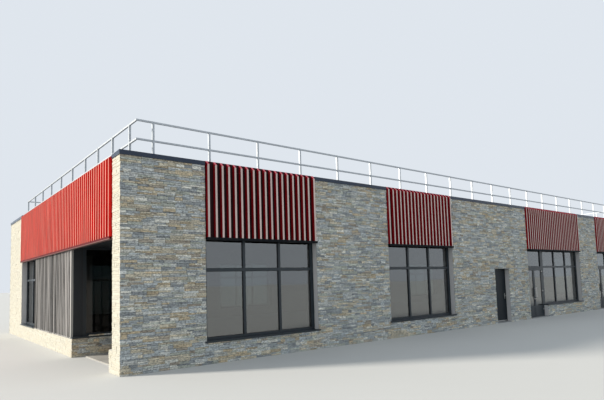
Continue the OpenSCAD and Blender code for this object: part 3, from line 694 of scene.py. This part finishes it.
bolt = add_cylinder(6, BOLT_R, BOLT_H, (0, 0, BOLT_H / 2))
pick_faces(bolt, lambda face: face.normal.z > 0.9)
bpy.ops.mesh.inset(thickness=STUD_IN)
bpy.ops.mesh.extrude_region_move(TRANSFORM_OT_translate={"value": (0, 0, STUD_H)})
bpy.ops.object.mode_set(mode="OBJECT")
plate_top = deck_high.z + BASE_PLATE_T
corners = set()
for node in ("front_guardrail", "rear_guardrail", "left_guardrail", "right_guardrail"):
    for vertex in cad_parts[node].data.vertices:
        if abs(vertex.co.z - plate_top) < 0.001:
            corners.add((round(vertex.co.x, 3), round(vertex.co.y, 3)))
bolt_places = []
for x, y in sorted(corners):
    for side_x, side_y in ((1, 1), (1, -1), (-1, 1), (-1, -1)):
        far_x = round(x + side_x * BASE_PLATE_W, 3)
        far_y = round(y + side_y * BASE_PLATE_W, 3)
        if (far_x, y) in corners and (x, far_y) in corners:
            bolt_places.append(turned_place(x + side_x * BOLT_IN, y + side_y * BOLT_IN, plate_top))
finish_piece(copies_of(bolt, bolt_places), "guardrail_bolts", galvanised_tube)

# Window and shopfront frames. Dark blue-grey powder-coated aluminium sections
# screwed to the reveals, with folded sills that throw rain clear of the stone.
FRAME_TONE = (0.012, 0.021, 0.029)

coated_frame, tree, shader = new_finish("coated_frame", FRAME_TONE, 0.36)
place = place_on_object(tree)
handling = mottling(tree, place, 3.0, 8.0, 0.6)
weather(tree, shader, handling, FRAME_TONE, (0.8, 1.35), (0.28, 0.46))
roughen(tree, shader, mottling(tree, place, 300.0, 2.0), 0.0003)
dress(coated_frame, "window_frames", "shopfront_frames", "entrance_posts", "window_sills",
      "porch_window_frame", "porch_screen_frame")

# Glazing. Sealed double units of solar-control glass, dark and mirror-like from
# outside, held all round by black rubber gaskets. The porch glass is less
# mirror-like and tinted near black: painted shade of the dark porch behind it.
GLASS_TINT, RUBBER_BLACK = (0.16, 0.20, 0.20), (0.012, 0.012, 0.013)
GASKET_W, GASKET_OUT = 0.009, 0.007
GASKET_PROFILE = ((0.0, 0.0), (0.0, GASKET_OUT), (GASKET_W * 0.6, GASKET_OUT), (GASKET_W, 0.0))


def solar_finish(name, tint, mirror):
    """Coated glass of a tint, a little wavy, with faint rain marks; mirror is its IOR."""
    glass, tree, shader = new_finish(name, tint, 0.02)
    shader.inputs["Transmission Weight"].default_value = 1.0
    shader.inputs["IOR"].default_value = mirror
    roughen(tree, shader, mottling(tree, place_on_object(tree), 0.8, 1.0), 0.0015)
    rain_marks = mottling(tree, place_on_object(tree, (6, 6, 1.2)), 3.0, 8.0, 0.7)
    tree.links.new(between(tree, rain_marks, 0.01, 0.05, 0.5, 0.8), shader.inputs["Roughness"])
    return glass


solar_glass = solar_finish("solar_glass", GLASS_TINT, 2.3)
# Porch glass tinted near black: painted shade of the dark porch behind it.
shade_darkened_porch_glass = solar_finish("shade_darkened_porch_glass", shaded(GLASS_TINT, 0.2), 1.42)

black_rubber, tree, shader = new_finish("black_rubber", RUBBER_BLACK, 0.7)
tree.links.new(
    between(tree, mottling(tree, place_on_object(tree), 40.0, 6.0), 0.55, 0.85),
    shader.inputs["Roughness"],
)


def gasket_round(low, high):
    """A rubber strip round both faces of one upright pane."""
    thin = 0 if high[0] - low[0] < high[1] - low[1] else 1
    long = 1 - thin
    middle = [(a + b) / 2 for a, b in zip(low, high)]
    strips = []
    for face, side in ((low[thin], -1), (high[thin], 1)):
        rings = []
        for inset, out in GASKET_PROFILE:
            ring = []
            for across, up in ((-1, -1), (1, -1), (1, 1), (-1, 1)):
                point = [0.0, 0.0, 0.0]
                point[thin] = face + side * out
                point[long] = middle[long] + across * ((high[long] - low[long]) / 2 - inset)
                point[2] = middle[2] + up * ((high[2] - low[2]) / 2 - inset)
                ring.append(point)
            rings.append(ring)
        strips.append(rings)
    return strips


def add_gaskets(name, boxes, body="building"):
    """The gaskets of all panes of a node, joined in one mesh."""
    points, faces = [], []
    for low, high in boxes:
        for rings in gasket_round(low, high):
            start = len(points)
            for ring in rings:
                points.extend(ring)
            for ring in range(4):
                this, after = start + ring * 4, start + (ring + 1) % 4 * 4
                for edge in range(4):
                    end = (edge + 1) % 4
                    faces.append((this + edge, this + end, after + end, after + edge))
    mesh = bpy.data.meshes.new(name)
    mesh.from_pydata(points, [], faces)
    gaskets = bpy.data.objects.new(name, mesh)
    bpy.context.collection.objects.link(gaskets)
    bpy.ops.object.select_all(action="DESELECT")
    gaskets.select_set(True)
    bpy.context.view_layer.objects.active = gaskets
    bpy.ops.object.mode_set(mode="EDIT")
    bpy.ops.mesh.select_all(action="SELECT")
    bpy.ops.mesh.normals_make_consistent(inside=False)
    bpy.ops.object.mode_set(mode="OBJECT")
    finish_piece(gaskets, name, black_rubber, body)


for node, glass in (("window_glass", solar_glass), ("shopfront_glass", solar_glass),
                    ("porch_window_glass", shade_darkened_porch_glass), ("porch_screen_glass", shade_darkened_porch_glass)):
    dress(glass, node)
    add_gaskets(node.replace("glass", "gaskets"), solids_of(node))

# Service door. A flush steel leaf in a steel frame under a thin metal drip at
# the head of the opening, with a brushed lever and three pin hinges.
STEEL = (0.56, 0.56, 0.55)
DOOR_TONE = (0.006, 0.011, 0.016)
DRIP_T, DRIP_OUT, DRIP_PAST, DRIP_FALL = 0.012, 0.032, 0.06, 0.006
BAR_IN, BAR_OUT, BAR_FOOT, BAR_TOP = 0.012, 0.014, 0.004, 0.04

brushed_steel, tree, shader = new_finish("brushed_steel", STEEL, 0.32, 1.0)
brushing = mottling(tree, place_on_object(tree, (30, 30, 400)), 3.0, 3.0)
tree.links.new(between(tree, brushing, 0.24, 0.42), shader.inputs["Roughness"])
roughen(tree, shader, brushing, 0.0004)
dress(brushed_steel, "service_door_fittings")

coated_door, tree, shader = new_finish("coated_door", DOOR_TONE, 0.42)
streaked = mottling(tree, place_on_object(tree, (8, 8, 1.5)), 2.0, 8.0, 0.6)
weather(tree, shader, streaked, DOOR_TONE, (0.8, 1.5), (0.34, 0.52))
roughen(tree, shader, mottling(tree, place_on_object(tree), 260.0, 2.0), 0.0004)
shader.inputs["Specular IOR Level"].default_value = 0.2
dress(coated_door, "service_door", "service_door_frame")

frame_low, frame_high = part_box("service_door_frame")
head_drip = add_block(
    (frame_low.x - DRIP_PAST, -HALF_DEPTH - DRIP_OUT, frame_high.z - DRIP_T),
    (frame_high.x + DRIP_PAST, -HALF_DEPTH, frame_high.z), 0.002)
pick_faces(head_drip, lambda face: face.normal.y < -0.9)
bpy.ops.transform.translate(value=(0, 0, -DRIP_FALL))
bpy.ops.object.mode_set(mode="OBJECT")
finish_piece(head_drip, "service_head_drip", coated_door)

leaf_low, leaf_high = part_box("service_door")
weather_bar = add_block(
    (leaf_low.x + BAR_IN, leaf_low.y - BAR_OUT, leaf_low.z + BAR_FOOT),
    (leaf_high.x - BAR_IN, leaf_low.y, leaf_low.z + BAR_TOP), 0.003, 2)
finish_piece(
    weather_bar, "service_weather_bar", brushed_steel, "service_door_leaf")

# Entrance doors. Pairs of glazed aluminium leaves with a solid foot panel, hung
# on pin hinges and pulled by upright steel bars beside the meeting stiles.
LOCK_R, LOCK_T, LOCK_IN, LOCK_AT = 0.026, 0.008, 0.035, 0.80
CYLINDER_IN, CYLINDER_OUT = 0.012, 0.004

for shop in (1, 2):
    for side in ("left", "right"):
        stem = f"entrance_{shop}_{side}"
        dress(coated_frame, stem + "_leaf")
        dress(solar_glass, stem + "_glass")
        dress(brushed_steel, stem + "_fittings")
        add_gaskets(stem + "_gaskets", [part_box(stem + "_glass")], stem + "_door")
        leaf_low, leaf_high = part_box(stem + "_leaf")
        lock_x = leaf_high.x - LOCK_IN if side == "left" else leaf_low.x + LOCK_IN
        rosette = add_cylinder(24, LOCK_R, LOCK_T, (lock_x, leaf_low.y - LOCK_T / 2, LOCK_AT), 90)
        pick_faces(rosette, lambda face: face.normal.y < -0.9)
        bpy.ops.mesh.inset(thickness=CYLINDER_IN)
        bpy.ops.mesh.extrude_region_move(TRANSFORM_OT_translate={"value": (0, -CYLINDER_OUT, 0)})
        bpy.ops.object.mode_set(mode="OBJECT")
        finish_piece(rosette, stem + "_lock", brushed_steel, stem + "_door")

# Porch ceiling and the wall behind the grey cladding. Dark coated boards are
# screwed under the deck of the porch, and the wall takes the same near-black
# tone; this near black is partly painted shade of the porch.
# Near-black tone, partly painted shade of the porch.
DARK_AND_SHADE_TONE = (0.006, 0.009, 0.013)
BOARD_T, BOARD_GAP, OUTER_BOARDS, INNER_BOARDS = 0.008, 0.006, 2, 10
FASCIA_CLEAR, WALL_CLEAR = 0.016, 0.005

dark_boarding, tree, shader = new_finish("dark_boarding", DARK_AND_SHADE_TONE, 0.5)
board_stains = mottling(tree, place_on_object(tree, (9, 1.2, 9)), 2.0, 8.0, 0.6)
weather(tree, shader, board_stains, DARK_AND_SHADE_TONE, (0.8, 1.7), (0.4, 0.62))
roughen(tree, shader, mottling(tree, place_on_object(tree), 220.0, 2.0), 0.0004)
dress(dark_boarding, "porch_soffit", "left_clad_wall")

soffit_low, soffit_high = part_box("porch_soffit")
outer_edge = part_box("left_clad_wall")[0].x - FASCIA_CLEAR
outer_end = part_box("left_clad_wall")[0].y - WALL_CLEAR
board_runs = []
for first, last, end, count in ((outer_edge, soffit_low.x, outer_end, OUTER_BOARDS),
                                (soffit_low.x, soffit_high.x, soffit_high.y, INNER_BOARDS)):
    pitch = (last - first) / count
    board = add_block((first, soffit_low.y, soffit_low.z - BOARD_T),
                      (first + pitch - BOARD_GAP, end, soffit_low.z), 0.002)
    repeat_along_x(board, count, pitch)
    board_runs.append(board)
finish_piece(join_blocks(board_runs), "porch_ceiling_boards", dark_boarding)

# Grey cladding. One run of ribbed metal sheet with a weathered matt coating,
# framed by a pale corner trim at the porch and a flat trim at its foot. Its strong
# light and dark upright streaks are partly run marks and partly painted light and
# shade of the ribs.
CLAD_GREY, TRIM_GREY = (0.245, 0.235, 0.228), (0.42, 0.41, 0.39)
TRIM_W, TRIM_T, FOOT_OUT, FOOT_IN, FOOT_DOWN, FOOT_UP = 0.055, 0.003, 0.012, 0.02, 0.002, 0.03

weathered_cladding, tree, shader = new_finish("weathered_cladding", CLAD_GREY, 0.6, 0.2)
# Streaks partly weathering, partly painted light and shade of the ribs.
run_marks_and_rib_shade = mottling(tree, place_on_object(tree, (9, 9, 0.22)), 0.8, 8.0, 0.7)
tree.links.new(
    blend_tones(tree, between(tree, run_marks_and_rib_shade, 0, 1, 0.43, 0.57), shaded(CLAD_GREY, 0.3),
                shaded(CLAD_GREY, 1.8)),
    shader.inputs["Base Color"],
)
tree.links.new(between(tree, run_marks_and_rib_shade, 0.5, 0.75), shader.inputs["Roughness"])
roughen(tree, shader, mottling(tree, place_on_object(tree), 180.0, 3.0), 0.0005)
dress(weathered_cladding, "left_cladding")

pale_trim, tree, shader = new_finish("pale_trim", TRIM_GREY, 0.45, 0.3)
tree.links.new(
    between(tree, mottling(tree, place_on_object(tree), 8.0, 6.0), 0.35, 0.6),
    shader.inputs["Roughness"],
)
clad_low, clad_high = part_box("left_cladding")
corner_trim = join_blocks([
    add_block((clad_low.x - TRIM_T, clad_low.y - TRIM_T, clad_low.z),
              (clad_low.x, clad_low.y + TRIM_W, clad_high.z), 0.001),
    add_block((clad_low.x - TRIM_T, clad_low.y - TRIM_T, clad_low.z),
              (clad_low.x + TRIM_W, clad_low.y, clad_high.z), 0.001),
])
finish_piece(corner_trim, "cladding_corner_trim", pale_trim)
foot_trim = add_block((clad_low.x - FOOT_OUT, clad_low.y - TRIM_T, clad_low.z - FOOT_DOWN),
                      (clad_low.x + FOOT_IN, clad_high.y, clad_low.z + FOOT_UP), 0.002)
finish_piece(foot_trim, "cladding_foot_trim", weathered_cladding)

# Fascia panels. Deep ribs folded in one red coated sheet over each window row,
# with pale faces on the ribs; a folded flashing closes the foot. The red of the
# shaded sides is darkened as painted shade, the sheet between the ribs is near
# black as painted channel shade, and the pink rib tops are painted sunlight. The
# left panel is a sunlit copy, brighter red with salmon faces, and its flashing is
# painted red with a pale lip near that end: painted sunlight.
# The red of the shaded sides is darkened as painted shade.
SHADE_DARKENED_RED, RIB_PALE, SUNLIT_RIB_TOP = (0.36, 0.004, 0.010), (0.82, 0.66, 0.60), (0.82, 0.13, 0.17)
# Brighter red and salmon faces for the sunlit left panel: painted sunlight.
SUNLIT_PAINTED_RED, SUNLIT_PAINTED_RIB = (0.86, 0.008, 0.004), (0.60, 0.20, 0.155)
# Near-black sheet between the ribs: painted shade of the channels.
CHANNEL_SHADE_BLACK = (0.016, 0.001, 0.003)
CHANNEL_BEHIND, RIB_FRONT, RIB_SLOPE, TIP_BEHIND = 0.024, 0.0705, 0.9, 0.0305
# Red and a pale lip painted on the flashing near the sunlit left end: painted sunlight.
FLASHING_TONE, SUNLIT_PAINTED_FLASHING = (0.004, 0.005, 0.007), (0.10, 0.003, 0.006)
SUNLIT_PAINTED_LIP, LIP_H, CORNER_TURN = (0.24, 0.14, 0.13), 0.01, 0.3
slant_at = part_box("front_fin_panels")[1].z / RIB_SLOPE - TIP_BEHIND


def coat_ribs(name, red, front, top, spread):
    """Coil coating: red flanks, pale fronts, tops in a painted sunlit tone, and a near-black sheet
    between ribs as painted channel shade.
    """
    coating, tree, shader = new_finish(name, red, 0.5)
    runs = mottling(tree, place_on_object(tree, (9, 9, 0.5)), 2.0, 8.0, 0.6)
    marked = between(tree, runs, 0, 1, 0.38, 0.62)
    layers = [blend_tones(tree, marked, shaded(tone, 1 - spread), shaded(tone, 1 + spread))
              for tone in (CHANNEL_SHADE_BLACK, red, front, top)]
    # Inside the channels the sheet takes the painted channel shade.
    ribs = blend_tones(tree, beyond_walls(tree, -CHANNEL_BEHIND), layers[0], layers[1])
    faced = blend_tones(tree, beyond_walls(tree, RIB_FRONT), ribs, layers[2])
    # Pink rib tops above the slant: painted sunlight.
    sunlit_tops = blend_tones(tree, beyond_walls(tree, slant_at, 1 / RIB_SLOPE), faced, layers[3])
    tree.links.new(sunlit_tops, shader.inputs["Base Color"])
    tree.links.new(between(tree, runs, 0.5, 0.65), shader.inputs["Roughness"])
    shader.inputs["Specular IOR Level"].default_value = 0.25
    roughen(tree, shader, mottling(tree, place_on_object(tree), 240.0, 2.0), 0.0003)
    return coating


# The shaded sides take the darkened red.
dress(coat_ribs("fascia_coating", SHADE_DARKENED_RED, RIB_PALE, SUNLIT_RIB_TOP, 0.1),
      "front_fin_panels", "rear_fin_panels", "right_fin_panels")
# The sunlit left panel takes the painted sunlight.
dress(coat_ribs("sunlit_painted_fascia_coating", SUNLIT_PAINTED_RED, SUNLIT_PAINTED_RIB, SUNLIT_PAINTED_RIB, 0.15),
      "left_fin_panel")

flashing_coating, tree, shader = new_finish("flashing_coating", FLASHING_TONE, 0.6)
splashes = mottling(tree, place_on_object(tree), 6.0, 8.0, 0.65)
axes = object_axes(tree)
# Near the sunlit left end the flashing is painted red with a pale lip, as painted sunlight;
# elsewhere it is near black, partly painted shade.
lip_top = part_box("panel_flashings")[0].z + LIP_H
over_lip = between(tree, axes["Z"], 0, 1, lip_top, lip_top + 0.002)
sunlit_lip_paint = blend_tones(tree, over_lip, SUNLIT_PAINTED_LIP, SUNLIT_PAINTED_FLASHING)
black = blend_tones(tree, splashes, shaded(FLASHING_TONE, 0.8), shaded(FLASHING_TONE, 1.8))
away_from_sunlit_end = between(tree, axes["X"], 0, 1, 0.001 - HALF_LENGTH, CORNER_TURN - HALF_LENGTH)
tree.links.new(blend_tones(tree, away_from_sunlit_end, sunlit_lip_paint, black), shader.inputs["Base Color"])
tree.links.new(between(tree, splashes, 0.6, 0.8), shader.inputs["Roughness"])
shader.inputs["Specular IOR Level"].default_value = 0.15
dress(flashing_coating, "panel_flashings")

# Panel fixings. The sheet is held to its two rails by coated hexagon screws on
# round washers, a pair in the bottom of every channel between the ribs.
SCREW_R, SCREW_H, WASHER_R, WASHER_T = 0.006, 0.005, 0.010, 0.002
CHANNEL_SET, LEAST_CHANNEL, FIXING_RISE, FIXING_DROP = 0.028, 0.03, 0.10, 0.30

washer = add_cylinder(16, WASHER_R, WASHER_T, (0, -WASHER_T / 2, 0), 90)
head = add_cylinder(6, SCREW_R, SCREW_H, (0, -WASHER_T - SCREW_H / 2, 0), 90)
screw = join_blocks([washer, head])
screw_places = []
for node, along, _, wall, turn, _ in SIDES:
    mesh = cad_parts[node].data
    out = math.copysign(1, wall)
    face_at = out * (abs(wall) - CHANNEL_SET)
    heights = (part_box(node)[0].z + FIXING_RISE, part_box(node)[1].z - FIXING_DROP)
    channels = set()
    for polygon in mesh.polygons:
        corners = [mesh.vertices[number].co for number in polygon.vertices]
        span = [corner[along] for corner in corners]
        if (all(abs(corner[1 - along] - face_at) < 0.002 for corner in corners)
                and polygon.normal[1 - along] * out > 0.9
                and max(span) - min(span) > LEAST_CHANNEL):
            channels.add((round(min(span), 3), round(max(span), 3)))
    for start, end in sorted(channels):
        middle = (start + end) / 2
        x, y = (middle, face_at) if along == 0 else (face_at, middle)
        for height in heights:
            screw_places.append(turned_place(x, y, height, turn))
finish_piece(
    copies_of(screw, screw_places), "panel_fixings", flashing_coating)

# Studio. A plain pale floor under a pale sky, one soft low sun from behind the
# left end, and a camera at the left front corner at eye height.
FLOOR_PALE, FLOOR_BOUNCE = (0.56, 0.56, 0.55), (0.26, 0.26, 0.26)
SKY_PALE, SKY_LIGHT, SKY_STRENGTH = (0.74, 0.79, 0.85), (0.84, 0.93, 1.0), 0.72
SUN_LIGHT, SUN_STRENGTH, SUN_SPREAD = (1.0, 0.93, 0.82), 5.2, 9
SUN_TRAVEL = (0.783, -0.470, -0.407)
CAMERA_AT, CAMERA_ANGLES = (-19.1025, -17.502, 1.837), (51.4073, 4.6153, -1.6702)
SENSOR_MM, LENS_MM, LENS_SHIFT = 36.0, 29.375, 0.0692

studio_floor, tree, shader = new_finish("studio_floor", FLOOR_PALE, 0.9)
paved = blend_tones(tree, mottling(tree, place_on_object(tree), 0.4, 6.0),
                    shaded(FLOOR_PALE, 0.98), shaded(FLOOR_PALE, 1.02))
rays = tree.nodes.new("ShaderNodeLightPath")
tree.links.new(
    blend_tones(tree, rays.outputs["Is Diffuse Ray"], paved, FLOOR_BOUNCE),
    shader.inputs["Base Color"],
)
bpy.ops.object.select_all(action="DESELECT")
bpy.ops.mesh.primitive_circle_add(vertices=96, radius=400, fill_type="NGON")
floor = bpy.context.object
floor.name = "studio_ground"
floor.data.materials.append(studio_floor)
floor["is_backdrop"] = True

world = bpy.data.worlds.new("pale_sky")
bpy.context.scene.world = world
world.use_nodes = True
tree = world.node_tree
seen = tree.nodes["Background"]
seen.inputs["Color"].default_value = (*SKY_PALE, 1.0)
seen.inputs["Strength"].default_value = 1.0
lit = tree.nodes.new("ShaderNodeBackground")
lit.inputs["Color"].default_value = (*SKY_LIGHT, 1.0)
lit.inputs["Strength"].default_value = SKY_STRENGTH
rays = tree.nodes.new("ShaderNodeLightPath")
mirrored = reckon(tree, "MAXIMUM", rays.outputs["Is Camera Ray"], rays.outputs["Is Glossy Ray"])
any_seen = reckon(tree, "MAXIMUM", mirrored, rays.outputs["Is Transmission Ray"])
either = tree.nodes.new("ShaderNodeMixShader")
tree.links.new(any_seen, either.inputs[0])
tree.links.new(lit.outputs[0], either.inputs[1])
tree.links.new(seen.outputs[0], either.inputs[2])
tree.links.new(either.outputs[0], tree.nodes["World Output"].inputs["Surface"])

sun_data = bpy.data.lights.new("soft_sun", "SUN")
sun_data.energy = SUN_STRENGTH
sun_data.color = SUN_LIGHT
sun_data.angle = math.radians(SUN_SPREAD)
sun = bpy.data.objects.new("soft_sun", sun_data)
bpy.context.collection.objects.link(sun)
sun.rotation_euler = Vector(SUN_TRAVEL).to_track_quat("-Z", "Y").to_euler()

camera_data = bpy.data.cameras.new("corner_view")
camera_data.sensor_width = SENSOR_MM
camera_data.lens = LENS_MM
camera_data.shift_y = LENS_SHIFT
camera_data.clip_end = 2000.0
camera = bpy.data.objects.new("corner_view", camera_data)
bpy.context.collection.objects.link(camera)
yaw, pitch, roll = (math.radians(angle) for angle in CAMERA_ANGLES)
turn = (Matrix.Rotation(yaw - math.pi / 2, 4, "Z") @ Matrix.Rotation(math.pi / 2 + pitch, 4, "X")
        @ Matrix.Rotation(roll, 4, "Z"))
camera.matrix_world = Matrix.Translation(CAMERA_AT) @ turn
bpy.context.scene.camera = camera
bpy.context.scene.view_settings.view_transform = "Standard"

low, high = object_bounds()
{"cad": [list(cad_low), list(cad_high)], "visual": [list(low), list(high)]}
